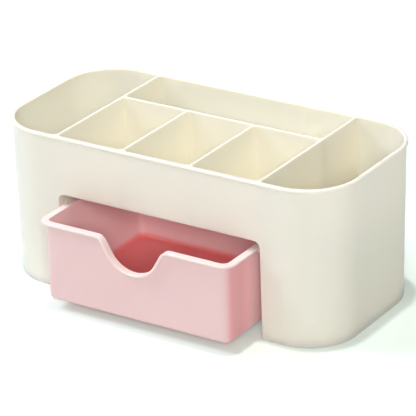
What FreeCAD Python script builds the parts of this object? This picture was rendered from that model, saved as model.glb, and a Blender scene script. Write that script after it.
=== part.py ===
# Makeup organizer with a drawer, in millimetres.
# One moulded box with six open compartments, and one moulded drawer that hangs in a tunnel under four of them.
# +X is to the right, +Y is to the back, +Z is up, and the box stands on Z = 0.
# The drawer is modelled partly pulled out, as the organizer stands on a table in use.
import FreeCAD, Part
import math
import os

# Box, measured over its rim bead
BOX_LENGTH = 220.0
BOX_DEPTH = 107.5
BOX_HEIGHT = 93.5
RIM_CORNER_RADIUS = 31.0
BOX_WALL = 1.4
BOX_DRAFT_DEGREES = 0.9

# Rim bead and the small roundings of the box
BEAD_REACH = 0.9
BEAD_HEIGHT = 2.2
BEAD_ROUNDING = 0.8
TOP_EDGE_ROUNDING = 0.4
FOOT_ROUNDING = 0.7

# Compartments
DIVIDER = 1.4
END_CELL_LENGTH = 41.55
FRONT_CELLS = 3
FRONT_CELL_DEPTH = 65.0
CELL_CORNER_RADIUS = 2.5
CELL_FLOOR_ROUNDING = 1.5
BOX_FLOOR = 1.8
FLOOR_LIFT = 3.0

# Drawer tunnel under the middle compartments, and the opening in the front wall
OPENING_HEIGHT = 58.5
OPENING_CORNER_RADIUS = 4.0
OPENING_FOOT_RADIUS = 1.5
TUNNEL_WALL = 1.1
TUNNEL_ROOF = 1.6

# Rails that the drawer's lip slides on
RAIL_THICKNESS = 1.8
RAIL_SETBACK = 4.0

# Drawer
DRAWER_HEIGHT = 47.15
DRAWER_OUT = 26.5
DRAWER_WALL = 1.45
DRAWER_FLOOR = 1.5
DRAWER_CORNER_RADIUS = 5.0
DRAWER_FOOT_ROUNDING = 2.4
DRAWER_INSIDE_ROUNDING = 1.6
DRAWER_DRAFT_DEGREES = 0.3
LIP_REACH = 2.75
LIP_THICKNESS = 1.5
LIP_ROUNDING = 0.5

# Finger notch in the drawer's front
NOTCH_DEPTH = 18.0
NOTCH_BOTTOM_RADIUS = 17.0
NOTCH_SHOULDER_RADIUS = 5.5
NOTCH_FLANK_DEGREES = 60.0

# Clearances of the drawer in its tunnel
LIP_SIDE_GAP = 3.2
LIP_TOP_GAP = 5.8
LIP_RAIL_GAP = 0.2
WALL_RAIL_GAP = 0.7
CLOSED_BACK_GAP = 0.5
CLOSED_RECESS = 2.2

# Cutting blocks reach this far past the faces that they cut
PAST = 5.0

# Box, worked out
box_draft = math.tan(math.radians(BOX_DRAFT_DEGREES))
half_length = BOX_LENGTH / 2
half_depth = BOX_DEPTH / 2
wall_x = half_length - BEAD_REACH
wall_y = half_depth - BEAD_REACH
wall_corner = RIM_CORNER_RADIUS - BEAD_REACH
inside_x = wall_x - BOX_WALL
inside_y = wall_y - BOX_WALL
inside_corner = wall_corner - BOX_WALL
foot_inset = BOX_HEIGHT * box_draft

# Compartments and tunnel, worked out
middle_floor = OPENING_HEIGHT + TUNNEL_ROOF
end_floor = FLOOR_LIFT + BOX_FLOOR
end_cell_x = inside_x - END_CELL_LENGTH
tunnel_x = end_cell_x + (BOX_HEIGHT - OPENING_HEIGHT) * box_draft - TUNNEL_WALL
tunnel_back_y = inside_y - foot_inset
middle_x = end_cell_x - DIVIDER
front_cell_width = (2 * middle_x - (FRONT_CELLS - 1) * DIVIDER) / FRONT_CELLS
back_cell_y = -inside_y + FRONT_CELL_DEPTH + DIVIDER

# Drawer, worked out
drawer_draft = math.tan(math.radians(DRAWER_DRAFT_DEGREES))
drawer_top = OPENING_HEIGHT - LIP_TOP_GAP
drawer_bottom = drawer_top - DRAWER_HEIGHT
front_face_y = -wall_y + (BOX_HEIGHT - drawer_top) * box_draft
lip_x = tunnel_x - LIP_SIDE_GAP
lip_front_y = front_face_y - DRAWER_OUT
lip_depth = tunnel_back_y - CLOSED_BACK_GAP - front_face_y - CLOSED_RECESS
lip_back_y = lip_front_y + lip_depth
lip_corner = DRAWER_CORNER_RADIUS + LIP_REACH
drawer_x = lip_x - LIP_REACH
drawer_front_y = lip_front_y + LIP_REACH
drawer_back_y = lip_back_y - LIP_REACH

# Rails, worked out from the drawer's lip
rail_top = drawer_top - LIP_THICKNESS - LIP_RAIL_GAP
rail_inner_x = drawer_x + WALL_RAIL_GAP

# The origin is the middle of the footprint with the drawer out
centre_shift = -(lip_front_y + half_depth) / 2


def level(z):
    """Places (u, v) at (x, y) on the level plane at height z."""
    return lambda u, v: FreeCAD.Vector(u, v, z)


def upright(y):
    """Places (u, v) at (x, z) on the upright plane at y."""
    return lambda u, v: FreeCAD.Vector(u, y, v)


def turn(centre_u, centre_v, radius, first, last):
    """Start, middle and end of an arc about a centre, between two angles in degrees."""
    angles = [math.radians(angle) for angle in (first, (first + last) / 2, last)]
    return [(centre_u + radius * math.cos(angle), centre_v + radius * math.sin(angle)) for angle in angles]


def closed_wire(stretches, place):
    """A closed wire of arcs, each given by three points, and single corner points, joined by straight lines."""
    edges = []
    for stretch, following in zip(stretches, stretches[1:] + stretches[:1]):
        points = [place(u, v) for u, v in stretch]
        if len(points) == 3:
            edges.append(Part.Arc(*points).toShape())
        edges.append(Part.LineSegment(points[-1], place(*following[0])).toShape())
    return Part.Wire(edges)


def rounded_rectangle(x0, x1, y0, y1, radii, z):
    """radii are those of the front left, front right, back right and back left corners."""
    front_left, front_right, back_right, back_left = radii
    stretches = [
        turn(x0 + front_left, y0 + front_left, front_left, 180, 270),
        turn(x1 - front_right, y0 + front_right, front_right, 270, 360),
        turn(x1 - back_right, y1 - back_right, back_right, 0, 90),
        turn(x0 + back_left, y1 - back_left, back_left, 90, 180),
    ]
    return closed_wire(stretches, level(z))


def drafted_block(x0, x1, y0, y1, radii, bottom, top, draft, floor_rounding):
    """A block whose sides lean inwards towards its bottom, with a rounded edge round the bottom.
    The sizes given are those at its top."""
    lean = (top - bottom) * draft
    upper = rounded_rectangle(x0, x1, y0, y1, radii, top)
    lower_radii = [radius - lean for radius in radii]
    lower = rounded_rectangle(x0 + lean, x1 - lean, y0 + lean, y1 - lean, lower_radii, bottom)
    block = Part.makeLoft([lower, upper], True, True)
    return block.makeFillet(floor_rounding, level_edges(block, bottom))


def straight_block(x0, x1, y0, y1, radii, bottom, top):
    face = Part.Face(rounded_rectangle(x0, x1, y0, y1, radii, bottom))
    return face.extrude(FreeCAD.Vector(0, 0, top - bottom))


def plain_block(x0, x1, y0, y1, z0, z1):
    return Part.makeBox(x1 - x0, y1 - y0, z1 - z0, FreeCAD.Vector(x0, y0, z0))


def is_level(edge, z):
    box = edge.BoundBox
    return abs(box.ZMin - z) < 1e-4 and abs(box.ZMax - z) < 1e-4


def level_edges(shape, z):
    return [edge for edge in shape.Edges if is_level(edge, z)]


def box_outside():
    """The leaning outer wall and the bead round its top edge."""
    corners = [wall_corner] * 4
    wall = drafted_block(-wall_x, wall_x, -wall_y, wall_y, corners, 0, BOX_HEIGHT, box_draft, FOOT_ROUNDING)
    bead_bottom = BOX_HEIGHT - BEAD_HEIGHT
    corners = [RIM_CORNER_RADIUS] * 4
    bead = straight_block(-half_length, half_length, -half_depth, half_depth, corners, bead_bottom, BOX_HEIGHT)
    bead = bead.makeFillet(BEAD_ROUNDING, level_edges(bead, bead_bottom) + level_edges(bead, BOX_HEIGHT))
    return wall.fuse(bead)


def end_compartment(side):
    small = CELL_CORNER_RADIUS
    large = inside_corner
    x0, x1 = (end_cell_x, inside_x) if side > 0 else (-inside_x, -end_cell_x)
    radii = [small, large, large, small] if side > 0 else [large, small, small, large]
    return drafted_block(x0, x1, -inside_y, inside_y, radii, end_floor, BOX_HEIGHT, box_draft, CELL_FLOOR_ROUNDING)


def middle_compartment(x0, x1, y0, y1):
    corners = [CELL_CORNER_RADIUS] * 4
    return drafted_block(x0, x1, y0, y1, corners, middle_floor, BOX_HEIGHT, box_draft, CELL_FLOOR_ROUNDING)


def compartments():
    """One deep compartment at each end, three small ones at the front and a long one at the back."""
    cells = [end_compartment(side) for side in (-1, 1)]
    for index in range(FRONT_CELLS):
        x0 = -middle_x + index * (front_cell_width + DIVIDER)
        cells.append(middle_compartment(x0, x0 + front_cell_width, -inside_y, -inside_y + FRONT_CELL_DEPTH))
    cells.append(middle_compartment(-middle_x, middle_x, back_cell_y, inside_y))
    return cells


def tunnel():
    """The drawer's space: open at the front and below, with rounded upper corners."""
    radius = OPENING_CORNER_RADIUS
    stretches = [
        [(tunnel_x, -PAST)],
        turn(tunnel_x - radius, OPENING_HEIGHT - radius, radius, 0, 90),
        turn(-tunnel_x + radius, OPENING_HEIGHT - radius, radius, 90, 180),
        [(-tunnel_x, -PAST)],
    ]
    front_y = -half_depth - PAST
    face = Part.Face(closed_wire(stretches, upright(front_y)))
    return face.extrude(FreeCAD.Vector(0, tunnel_back_y - front_y, 0))


def opening_foot(side):
    """What is cut from the front wall so that its lower corner at the opening is round."""
    radius = OPENING_FOOT_RADIUS
    rounding = turn(side * (tunnel_x + radius), radius, radius, 270, 270 - side * 90)
    stretches = [rounding, [(side * (tunnel_x - PAST), radius)], [(side * (tunnel_x - PAST), -PAST)],
                 [(side * (tunnel_x + radius), -PAST)]]
    front_y = -half_depth - PAST
    face = Part.Face(closed_wire(stretches, upright(front_y)))
    return face.extrude(FreeCAD.Vector(0, -front_y, 0))


def underside():
    """The shallow space under the floors, inside the foot of the outer wall."""
    x = inside_x - foot_inset
    y = inside_y - foot_inset
    corners = [inside_corner - foot_inset] * 4
    return straight_block(-x, x, -y, y, corners, -PAST, FLOOR_LIFT)


def rail(side):
    """A ledge on the tunnel's side wall, under the drawer's lip."""
    x0, x1 = sorted((side * rail_inner_x, side * (tunnel_x + TUNNEL_WALL / 2)))
    front_y = -tunnel_back_y + RAIL_SETBACK
    return plain_block(x0, x1, front_y, tunnel_back_y + BOX_WALL / 2, rail_top - RAIL_THICKNESS, rail_top)


def make_box():
    shape = box_outside()
    shape = shape.cut([tunnel(), underside(), opening_foot(-1), opening_foot(1)] + compartments())
    shape = shape.fuse([rail(-1), rail(1)])
    cell_tops = [edge for edge in level_edges(shape, BOX_HEIGHT) if not on_bead(edge)]
    return shape.makeFillet(TOP_EDGE_ROUNDING, cell_tops)


def on_bead(edge):
    """Whether an edge of the top face belongs to the bead's outer rounding."""
    box = edge.BoundBox
    half_wall = BOX_WALL / 2
    return box.XMin < -wall_x + half_wall or box.XMax > wall_x - half_wall or \
        box.YMin < -wall_y + half_wall or box.YMax > wall_y - half_wall


def rim_line(drop):
    """The drawer's front rim line in the upright plane, drop below the rim: left shoulder, notch, right shoulder.
    The arcs keep their centres, so a dropped line stays the same distance from the rim all along."""
    flank = math.radians(NOTCH_FLANK_DEGREES)
    both_radii = NOTCH_BOTTOM_RADIUS + NOTCH_SHOULDER_RADIUS
    straight_rise = NOTCH_DEPTH - both_radii * (1 - math.cos(flank))
    shoulder_u = both_radii * math.sin(flank) + straight_rise / math.tan(flank)
    shoulder_v = drawer_top - NOTCH_SHOULDER_RADIUS
    bottom_v = drawer_top - NOTCH_DEPTH + NOTCH_BOTTOM_RADIUS
    angle = NOTCH_FLANK_DEGREES
    return [
        turn(-shoulder_u, shoulder_v, NOTCH_SHOULDER_RADIUS - drop, 90, 90 - angle),
        turn(0, bottom_v, NOTCH_BOTTOM_RADIUS + drop, 270 - angle, 270 + angle),
        turn(shoulder_u, shoulder_v, NOTCH_SHOULDER_RADIUS - drop, 90 + angle, 90),
    ]


def above_rim_line(drop, y0, y1):
    """The space above the rim line, or above a line that runs drop below it, from y0 to y1."""
    far = lip_x + PAST
    low = drawer_top - drop
    high = drawer_top + PAST
    stretches = rim_line(drop) + [[(far, low)], [(far, high)], [(-far, high)], [(-far, low)]]
    face = Part.Face(closed_wire(stretches, upright(y0)))
    return face.extrude(FreeCAD.Vector(0, y1 - y0, 0))


def make_drawer():
    corners = [DRAWER_CORNER_RADIUS] * 4
    shell = drafted_block(-drawer_x, drawer_x, drawer_front_y, drawer_back_y, corners,
                          drawer_bottom, drawer_top, drawer_draft, DRAWER_FOOT_ROUNDING)
    lip_corners = [lip_corner] * 4
    lip_bottom = drawer_top - LIP_THICKNESS
    lip_low = drawer_top - NOTCH_DEPTH - PAST
    lip_block = straight_block(-lip_x, lip_x, lip_front_y, lip_back_y, lip_corners, lip_low, drawer_top)
    notch_y0 = lip_front_y - PAST
    notch_y1 = drawer_front_y + DRAWER_CORNER_RADIUS
    lip_front = lip_block.common(above_rim_line(LIP_THICKNESS, notch_y0, notch_y1))
    lip_rest = lip_block.common(plain_block(-lip_x, lip_x, notch_y1, lip_back_y, lip_bottom, drawer_top))
    inner = DRAWER_WALL
    inner_corners = [DRAWER_CORNER_RADIUS - DRAWER_WALL] * 4
    inside = drafted_block(-drawer_x + inner, drawer_x - inner, drawer_front_y + inner, drawer_back_y - inner,
                           inner_corners, drawer_bottom + DRAWER_FLOOR, drawer_top, drawer_draft,
                           DRAWER_INSIDE_ROUNDING)
    shape = shell.fuse([lip_front, lip_rest]).cut([inside, above_rim_line(0, notch_y0, notch_y1)])
    shape = shape.removeSplitter()
    side = rounded_rectangle(-lip_x, lip_x, lip_front_y, lip_back_y, lip_corners, lip_low)
    side = side.extrude(FreeCAD.Vector(0, 0, DRAWER_HEIGHT))
    lip_edges = [edge for edge in shape.Edges if runs_along(edge, side)]
    return shape.makeFillet(LIP_ROUNDING, lip_edges)


def runs_along(edge, side):
    """Whether an edge lies on an upright side face and isn't itself upright."""
    box = edge.BoundBox
    if max(box.XLength, box.YLength) < 1e-3:
        return False
    first, last = edge.ParameterRange
    samples = [first + (last - first) * share for share in (0.1, 0.5, 0.9)]
    return all(side.distToShape(Part.Vertex(edge.valueAt(sample)))[0] < 1e-4 for sample in samples)


def write(shape, name):
    shape.translate(FreeCAD.Vector(0, centre_shift, 0))
    shape.exportStep("parts/" + name + ".step")
    box = shape.optimalBoundingBox(True, False)
    print(name, "solids", len(shape.Solids), "faces", len(shape.Faces), "valid", shape.isValid(),
          "volume cm3", round(shape.Volume / 1000, 2), "x", round(box.XMin, 2), round(box.XMax, 2),
          "y", round(box.YMin, 2), round(box.YMax, 2), "z", round(box.ZMin, 2), round(box.ZMax, 2))


os.makedirs("parts", exist_ok=True)
write(make_box(), "compartment_box")
write(make_drawer(), "drawer")
print("lip depth", round(lip_depth, 2), "closes over", round(DRAWER_OUT + CLOSED_RECESS, 2),
      "inside the rails", round(lip_back_y + tunnel_back_y - RAIL_SETBACK, 2))
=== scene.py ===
# %% [markdown]
# A makeup organizer with a drawer.
# The object is two plastic mouldings: a cream box with six open compartments, and a pink drawer that slides in a
# tunnel under four of them. Both shapes are finished in the imported model, so this lesson is about everything else
# that makes a moulding look real: its resin, its colours, its gloss, and the light of a photo studio.
# We start by loading the imported model and keeping its box, which the camera and the colours use.

# %% Load the imported model
import bpy
import math
from mathutils import Matrix, Vector


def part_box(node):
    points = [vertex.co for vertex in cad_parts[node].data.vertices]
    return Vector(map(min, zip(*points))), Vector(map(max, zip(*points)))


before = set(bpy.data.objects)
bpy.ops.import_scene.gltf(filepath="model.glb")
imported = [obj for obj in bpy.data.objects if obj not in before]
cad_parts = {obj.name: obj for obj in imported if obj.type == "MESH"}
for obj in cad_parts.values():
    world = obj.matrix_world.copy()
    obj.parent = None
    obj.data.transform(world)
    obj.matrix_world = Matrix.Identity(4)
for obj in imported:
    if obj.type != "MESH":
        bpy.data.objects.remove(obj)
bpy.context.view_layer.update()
box_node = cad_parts["compartment_box"]
drawer_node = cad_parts["drawer"]
box_low, box_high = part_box("compartment_box")
drawer_low, drawer_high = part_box("drawer")
print("box", [round(v, 4) for v in box_high - box_low], "drawer", [round(v, 4) for v in drawer_high - drawer_low])

# %% [markdown]
# The camera comes first, because every later choice is judged through it.
# The photograph was taken from the front right and a little above, with a long lens: the edges that run back
# hardly draw together. We give the camera the angles and the distance that make the model's rim, dividers and
# foot fall on those of the photograph, and aim it at a point on the box's middle line.

# %% Camera
AZIMUTH = math.radians(33.18)
ELEVATION = math.radians(24.02)
ROLL = math.radians(-1.58)
DISTANCE = 1.6143
LENS = 249.7
SENSOR = 36.0
box_middle_y = (box_low.y + box_high.y) / 2
aim = Vector((-0.00049, box_middle_y - 0.00032, 0.04378))
backwards = Vector((math.sin(AZIMUTH) * math.cos(ELEVATION), -math.cos(AZIMUTH) * math.cos(ELEVATION),
                    math.sin(ELEVATION)))

camera_data = bpy.data.cameras.new("studio_camera")
camera_data.lens = LENS
camera_data.sensor_width = SENSOR
camera_data.clip_end = 50
camera = bpy.data.objects.new("studio_camera", camera_data)
facing = (-backwards).to_track_quat("-Z", "Y").to_matrix().to_4x4()
camera.matrix_world = Matrix.Translation(aim + backwards * DISTANCE) @ facing @ Matrix.Rotation(ROLL, 4, "Z")
bpy.context.scene.collection.objects.link(camera)
bpy.context.scene.camera = camera
print("camera at", [round(v, 3) for v in camera.matrix_world.translation])

# %% [markdown]
# Lamps and world come next, at a plain level, so that a colour renders about as it is written.
# A product studio has a few large soft lamps and a smaller one overhead. The overhead lamp is the one that draws:
# it whitens every edge that faces up, and its shadow of the drawer lies sharp on the table, straight below the lip.
# A cool soft lamp at the left and a warmer one beside the camera light the faces, and the world fills what is left.

# %% Lamps
LAMP_DISTANCE = 2.5


def softbox(name, azimuth, elevation, size, level, tint):
    """A square lamp that looks at the box from the given side, measured like the camera's angles in degrees.
    Level 1 lights a white surface that faces the lamp to white: the power is pi squared times distance squared."""
    data = bpy.data.lights.new(name, "AREA")
    data.shape = "SQUARE"
    data.size = size
    data.energy = level * (math.pi * LAMP_DISTANCE) ** 2
    data.color = tint
    lamp = bpy.data.objects.new(name, data)
    side, height = math.radians(azimuth), math.radians(elevation)
    away = Vector((math.sin(side) * math.cos(height), -math.cos(side) * math.cos(height), math.sin(height)))
    turn = away.to_track_quat("Z", "Y").to_matrix().to_4x4()
    lamp.matrix_world = Matrix.Translation(aim + away * LAMP_DISTANCE) @ turn
    bpy.context.scene.collection.objects.link(lamp)
    print(name, "level", level, "at", [round(v, 2) for v in lamp.matrix_world.translation])


softbox("overhead_lamp", azimuth=0, elevation=89, size=0.1, level=0.46, tint=(1.0, 0.99, 0.955))
softbox("left_lamp", azimuth=-72, elevation=43, size=1.2, level=0.78, tint=(0.87, 0.895, 1.0))
softbox("camera_lamp", azimuth=33, elevation=27, size=0.7, level=0.58, tint=(1.0, 0.965, 0.92))

# %% [markdown]
# Shader maths reads best as ordinary Python. This small class wraps a node's output, so that an expression such as
# 1 - mask * 0.5 adds the Math nodes by itself, and one method adds any other node.

# %% Shader expressions
class Socket:
    """An output of a shader node. Arithmetic on it adds Math nodes to its finish."""

    def __init__(self, finish, output):
        self.finish = finish
        self.output = output

    def __add__(self, other):
        return self.finish.math("ADD", self, other)

    def __sub__(self, other):
        return self.finish.math("SUBTRACT", self, other)

    def __rsub__(self, other):
        return self.finish.math("SUBTRACT", other, self)

    def __mul__(self, other):
        return self.finish.math("MULTIPLY", self, other)

    def __abs__(self):
        return self.finish.math("ABSOLUTE", self)

    __radd__ = __add__
    __rmul__ = __mul__

    def larger(self, other):
        return self.finish.math("MAXIMUM", self, other)

    def other(self, name):
        """Another output of the same node."""
        return Socket(self.finish, self.output.node.outputs[name])

    def ramp(self, start, end):
        """0 up to start, 1 from end, and smooth between them."""
        return self.finish.node("ShaderNodeMapRange", {"interpolation_type": "SMOOTHSTEP", "clamp": True},
                                {"Value": self, "From Min": start, "From Max": end})


class Finish:
    """The nodes of a new material, or of a world."""

    def __init__(self, owner):
        self.owner = owner
        owner.use_nodes = True
        self.tree = owner.node_tree
        self.tree.nodes.clear()

    def node(self, kind, settings=None, sockets=None, output=0):
        """Adds a node: its settings first, then the values or links of its sockets."""
        node = self.tree.nodes.new(kind)
        for name, value in (settings or {}).items():
            setattr(node, name, value)
        for key, value in (sockets or {}).items():
            if isinstance(value, Socket):
                self.tree.links.new(value.output, node.inputs[key])
            else:
                node.inputs[key].default_value = value
        return Socket(self, node.outputs[output]) if node.outputs else None

    def mix(self, share, first, second):
        """The first colour where share is 0, and the second where it is 1."""
        return self.node("ShaderNodeMix", {"data_type": "RGBA"}, {0: share, 6: first, 7: second}, output=2)

    def place(self):
        """A point's place on the object, and its three parts, in metres."""
        point = self.node("ShaderNodeTexCoord").other("Object")
        x = self.node("ShaderNodeSeparateXYZ", None, {0: point})
        return point, (x, x.other("Y"), x.other("Z"))

    def math(self, operation, first, second=0.0):
        return self.node("ShaderNodeMath", {"operation": operation}, {0: first, 1: second})

    def facing_up(self):
        """The upward part of the surface's direction: 1 on a level top, 0 on an upright wall."""
        direction = self.node("ShaderNodeTexCoord").other("Normal")
        return self.node("ShaderNodeSeparateXYZ", None, {0: direction}).other("Z")

    def noise(self, point, size, detail=2.0):
        """Cloudy noise about 0, with features of the given size in metres."""
        cloud = self.node("ShaderNodeTexNoise", None, {"Vector": point, "Scale": 1 / size, "Detail": detail})
        return (cloud - 0.5) * 2


print("shader expressions ready")

# %% [markdown]
# Both mouldings are polypropylene: a matt, slightly waxy plastic whose gloss is soft because the steel of its mould
# is finely blasted. Three things keep it from looking like a flat colour: the pigment swirls a little where the
# melt flowed, the gloss is a little uneven, and the skin has the faint grain of the mould.
# We make one function for the skin, and one that finds how far a point lies from an upright wall, and then give
# each moulding its own colours.

# %% Moulded plastic
FLOW_SIZE, GLOSS_SIZE, GRAIN_SIZE, WAVE_SIZE = 0.045, 0.012, 0.0007, 0.03
GRAIN_HEIGHT, WAVE_HEIGHT = 0.000004, 0.000032
GLOSS_CHANGE, GRAIN_CHANGE = 0.05, 0.03
PLASTIC_IOR = 1.49


def moulded(name, colour_of, roughness, depth):
    """A plastic finish. colour_of gives the colour from the finish, the point's parts and the flow of the melt.
    depth is how far light wanders under the skin, in metres."""
    finish = Finish(bpy.data.materials.new(name))
    point, parts = finish.place()
    flow = finish.noise(point, FLOW_SIZE)
    gloss = finish.noise(point, GLOSS_SIZE, detail=3.0)
    grain = finish.noise(point, GRAIN_SIZE, detail=1.0)
    waves = finish.noise(point, WAVE_SIZE, detail=1.0)
    height = grain * GRAIN_HEIGHT + waves * WAVE_HEIGHT
    bump = finish.node("ShaderNodeBump", None, {"Strength": 1.0, "Distance": 1.0, "Height": height})
    skin = finish.node("ShaderNodeBsdfPrincipled", None, {
        "Base Color": colour_of(finish, parts, flow),
        "Roughness": roughness + gloss * GLOSS_CHANGE + grain * GRAIN_CHANGE,
        "IOR": PLASTIC_IOR,
        "Subsurface Weight": 1.0,
        "Subsurface Radius": (1.0, 0.95, 0.85),
        "Subsurface Scale": depth,
        "Normal": bump,
    })
    finish.node("ShaderNodeOutputMaterial", None, {"Surface": skin})
    print(name, "has", len(finish.tree.nodes), "nodes")
    return finish.owner


def wall_distance(finish, parts, low, high, corner):
    """How far a point lies outside an upright wall whose plan is a rounded rectangle, from low to high.
    Past the corner centres it is the length of the rest, less the corner's radius; between them it is the larger
    of the two overshoots."""
    over = [abs(part - (a + b) / 2) - ((b - a) / 2 - corner) for part, a, b in zip(parts, low, high)]
    beyond = [each.larger(0.0) for each in over]
    rest = finish.math("SQRT", beyond[0] * beyond[0] + beyond[1] * beyond[1])
    return rest + finish.math("MINIMUM", over[0].larger(over[1]), 0.0) - corner


def dress(node, material):
    """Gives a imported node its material, in every one of its slots."""
    for slot in node.material_slots:
        slot.material = material

# %% [markdown]
# The cream of the box is warm. Its inside is painted paler and yellower than its outside: painted light, which
# lifts the compartments. The plastic is thin and a little see-through: light wanders some millimetres in it, so a
# wall glows softly on the side that the lamps don't reach. That glow and the painted light keep the compartments
# bright.

# %% Cream plastic
CREAM_ROUGHNESS = 0.38
CREAM_DEPTH = 0.0035
CREAM = (0.712, 0.675, 0.638, 1.0)
# painted light: the inside is painted paler and yellower than the outside
CREAM_INSIDE_PAINTED_LIGHT = (0.80, 0.777, 0.68, 1.0)
CREAM_FLOW = (0.88, 0.82, 0.68, 1.0)
CREAM_FLOW_SHARE = 0.15
BOX_CORNER = 0.031
BOX_DRAFT = math.radians(0.9)
SKIN_INNER, SKIN_OUTER = -0.0019, -0.0013


def cream_colour(finish, parts, flow):
    """The inside's colour, painted paler as painted light, up to the middle of the outer wall, which leans out, and
    the outside's colour past it.
    """
    lean = (box_high.z - parts[2]) * math.tan(BOX_DRAFT)
    outside = wall_distance(finish, parts, box_low, box_high, BOX_CORNER) + lean
    # painted light: points inside the middle of the outer wall take the paler inside colour
    colour = finish.mix(outside.ramp(SKIN_INNER, SKIN_OUTER), CREAM_INSIDE_PAINTED_LIGHT, CREAM)
    return finish.mix(flow * CREAM_FLOW_SHARE + CREAM_FLOW_SHARE, colour, CREAM_FLOW)


dress(box_node, moulded("cream_plastic_moulded", cream_colour, CREAM_ROUGHNESS, CREAM_DEPTH))

# %% [markdown]
# The pink of the drawer is painted in lit and shaded zones. The floor inside and the foot of the inner walls are
# painted deep red, a painted shade, and the inner walls above are painted pale, a painted light. The outside is
# painted paler on the front than on the sides, a painted light, and the lip and the tops of the walls are palest, a
# painted highlight. The sides are painted a little paler towards the rear, painted light where the box takes some
# of their light. Each zone is found from a point's place: the wall distance is below zero inside the drawer's body
# and above zero on the flange of the lip.

# %% Pink plastic
PINK_ROUGHNESS = 0.32
PINK_DEPTH = 0.0002
# painted light: the inner walls are painted pale to lift their shade
PINK_INSIDE_PAINTED_LIGHT = (1.0, 0.69, 0.71, 1.0)
# painted shade: the floor inside, darker towards the bottom
PINK_FLOOR_PAINTED_SHADE = (0.84, 0.20, 0.21, 1.0)
PINK_SIDE = (0.73, 0.31, 0.35, 1.0)
# painted light: the rear of the sides, paler where the box takes their light
PINK_REAR_PAINTED_LIGHT = (1.0, 0.55, 0.59, 1.0)
# painted light: the front is painted paler than the sides
PINK_FRONT_PAINTED_LIGHT = (0.71, 0.492, 0.51, 1.0)
# painted highlight: the lip and the wall tops
PINK_LIP_PAINTED_HIGHLIGHT = (0.76, 0.61, 0.60, 1.0)
PINK_FLOW = (1.0, 0.97, 0.95, 1.0)
PINK_FLOW_SHARE = 0.06
FLANGE = 0.00275
BODY_CORNER = 0.005
WALL = 0.00145
UNDERSIDE = (0.0006, 0.0009)
FLOOR_SHADE_HEIGHTS = (0.0015, 0.006)
FRONT_LIGHT_DEPTHS = (0.0002, 0.004)
REAR_LIGHT_DEPTHS = (0.012, 0.028)
FLANGE_EDGE = (0.0001, 0.0004)


def pink_colour(finish, parts, flow):
    """The body's colours from front to rear, with painted light on the front and on the rear of the sides, then
    those of its inside, with painted light on the walls and painted shade at the bottom, and the lip's painted
    highlight over both.
    """
    low = (drawer_low.x + FLANGE, drawer_low.y + FLANGE)
    high = (drawer_high.x - FLANGE, drawer_high.y - FLANGE)
    outside = wall_distance(finish, parts, low, high, BODY_CORNER)

    def above(height_range):
        return parts[2].ramp(*(drawer_low.z + height for height in height_range))

    def behind(depth_range):
        return parts[1].ramp(*(low[1] + depth for depth in depth_range))

    within = (1 - outside.ramp(-WALL * 0.6, -WALL * 0.4)) * above(UNDERSIDE)
    # painted light: the zone of the paler front
    lit_front = 1 - behind(FRONT_LIGHT_DEPTHS)
    # painted highlight: the flange, and the wall tops that face up, are painted palest
    facing_up = finish.facing_up().ramp(0.1, 0.6)
    painted_lip_highlight = outside.ramp(*FLANGE_EDGE).larger(facing_up * outside.ramp(-WALL - 0.0003, -WALL))
    # painted light: the sides grow paler towards the rear, and the front is paler still
    colour = finish.mix(lit_front, finish.mix(behind(REAR_LIGHT_DEPTHS), PINK_SIDE, PINK_REAR_PAINTED_LIGHT), PINK_FRONT_PAINTED_LIGHT)
    # inside: painted light on the walls, and painted shade that deepens towards the floor
    colour = finish.mix(within, colour, finish.mix(1 - above(FLOOR_SHADE_HEIGHTS), PINK_INSIDE_PAINTED_LIGHT, PINK_FLOOR_PAINTED_SHADE))
    colour = finish.mix(painted_lip_highlight, colour, PINK_LIP_PAINTED_HIGHLIGHT)
    return finish.mix(flow * PINK_FLOW_SHARE + PINK_FLOW_SHARE, colour, PINK_FLOW)


dress(drawer_node, moulded("pink_plastic_moulded", pink_colour, PINK_ROUGHNESS, PINK_DEPTH))

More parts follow.
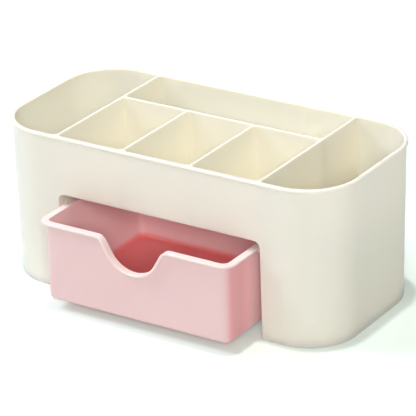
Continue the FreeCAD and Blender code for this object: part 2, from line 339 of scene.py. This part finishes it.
# %% [markdown]
# The table is a plain pale sheet. A camera ray also sees a faint glow in it, which lifts the lit sheet to white and
# leaves the object's shadow on it. The glow shows in reflections too, but it lights nothing. The world works the
# same way: it is white where it is seen, and a dim warm room where it lights.

# %% Table and world
TABLE_HALF = 6.0
PAPER = (0.69, 0.785, 0.74, 1.0)
PAPER_GLOW = (0.96, 1.0, 0.96, 1.0)
GLOW_LEVEL = 0.2
ROOM = (1.0, 0.97, 0.87, 1.0)
ROOM_LEVEL = 0.2
WHITE = (1.0, 1.0, 1.0, 1.0)


def seen_directly(finish):
    """1 for a ray from the camera, and for one that a glossy or clear surface sends on."""
    ray = finish.node("ShaderNodeLightPath")
    return ray.larger(ray.other("Is Glossy Ray")).larger(ray.other("Is Transmission Ray"))


corners = [(-TABLE_HALF, -TABLE_HALF, 0), (TABLE_HALF, -TABLE_HALF, 0),
           (TABLE_HALF, TABLE_HALF, 0), (-TABLE_HALF, TABLE_HALF, 0)]
table_mesh = bpy.data.meshes.new("table_top")
table_mesh.from_pydata(corners, [], [(0, 1, 2, 3)])
table_top = bpy.data.objects.new("table_top", table_mesh)
bpy.context.scene.collection.objects.link(table_top)

paper = Finish(bpy.data.materials.new("white_paper"))
sheet = paper.node("ShaderNodeBsdfDiffuse", None, {"Color": PAPER})
glow = paper.node("ShaderNodeEmission", None, {"Color": PAPER_GLOW, "Strength": seen_directly(paper) * GLOW_LEVEL})
both = paper.node("ShaderNodeAddShader", None, {0: sheet, 1: glow})
paper.node("ShaderNodeOutputMaterial", None, {"Surface": both})
table_mesh.materials.append(paper.owner)

surround = Finish(bpy.data.worlds.new("studio"))
bpy.context.scene.world = surround.owner
dim = surround.node("ShaderNodeBackground", None, {"Color": ROOM, "Strength": ROOM_LEVEL})
white = surround.node("ShaderNodeBackground", None, {"Color": WHITE, "Strength": 1.0})
sky = surround.node("ShaderNodeMixShader", None, {0: seen_directly(surround), 1: dim, 2: white})
surround.node("ShaderNodeOutputWorld", None, {"Surface": sky})
print("table", 2 * TABLE_HALF, "m wide, room level", ROOM_LEVEL)

# %% [markdown]
# Last, the picture's colours are left as they are.

# %% Colours and the end
bpy.context.scene.view_settings.view_transform = "Standard"
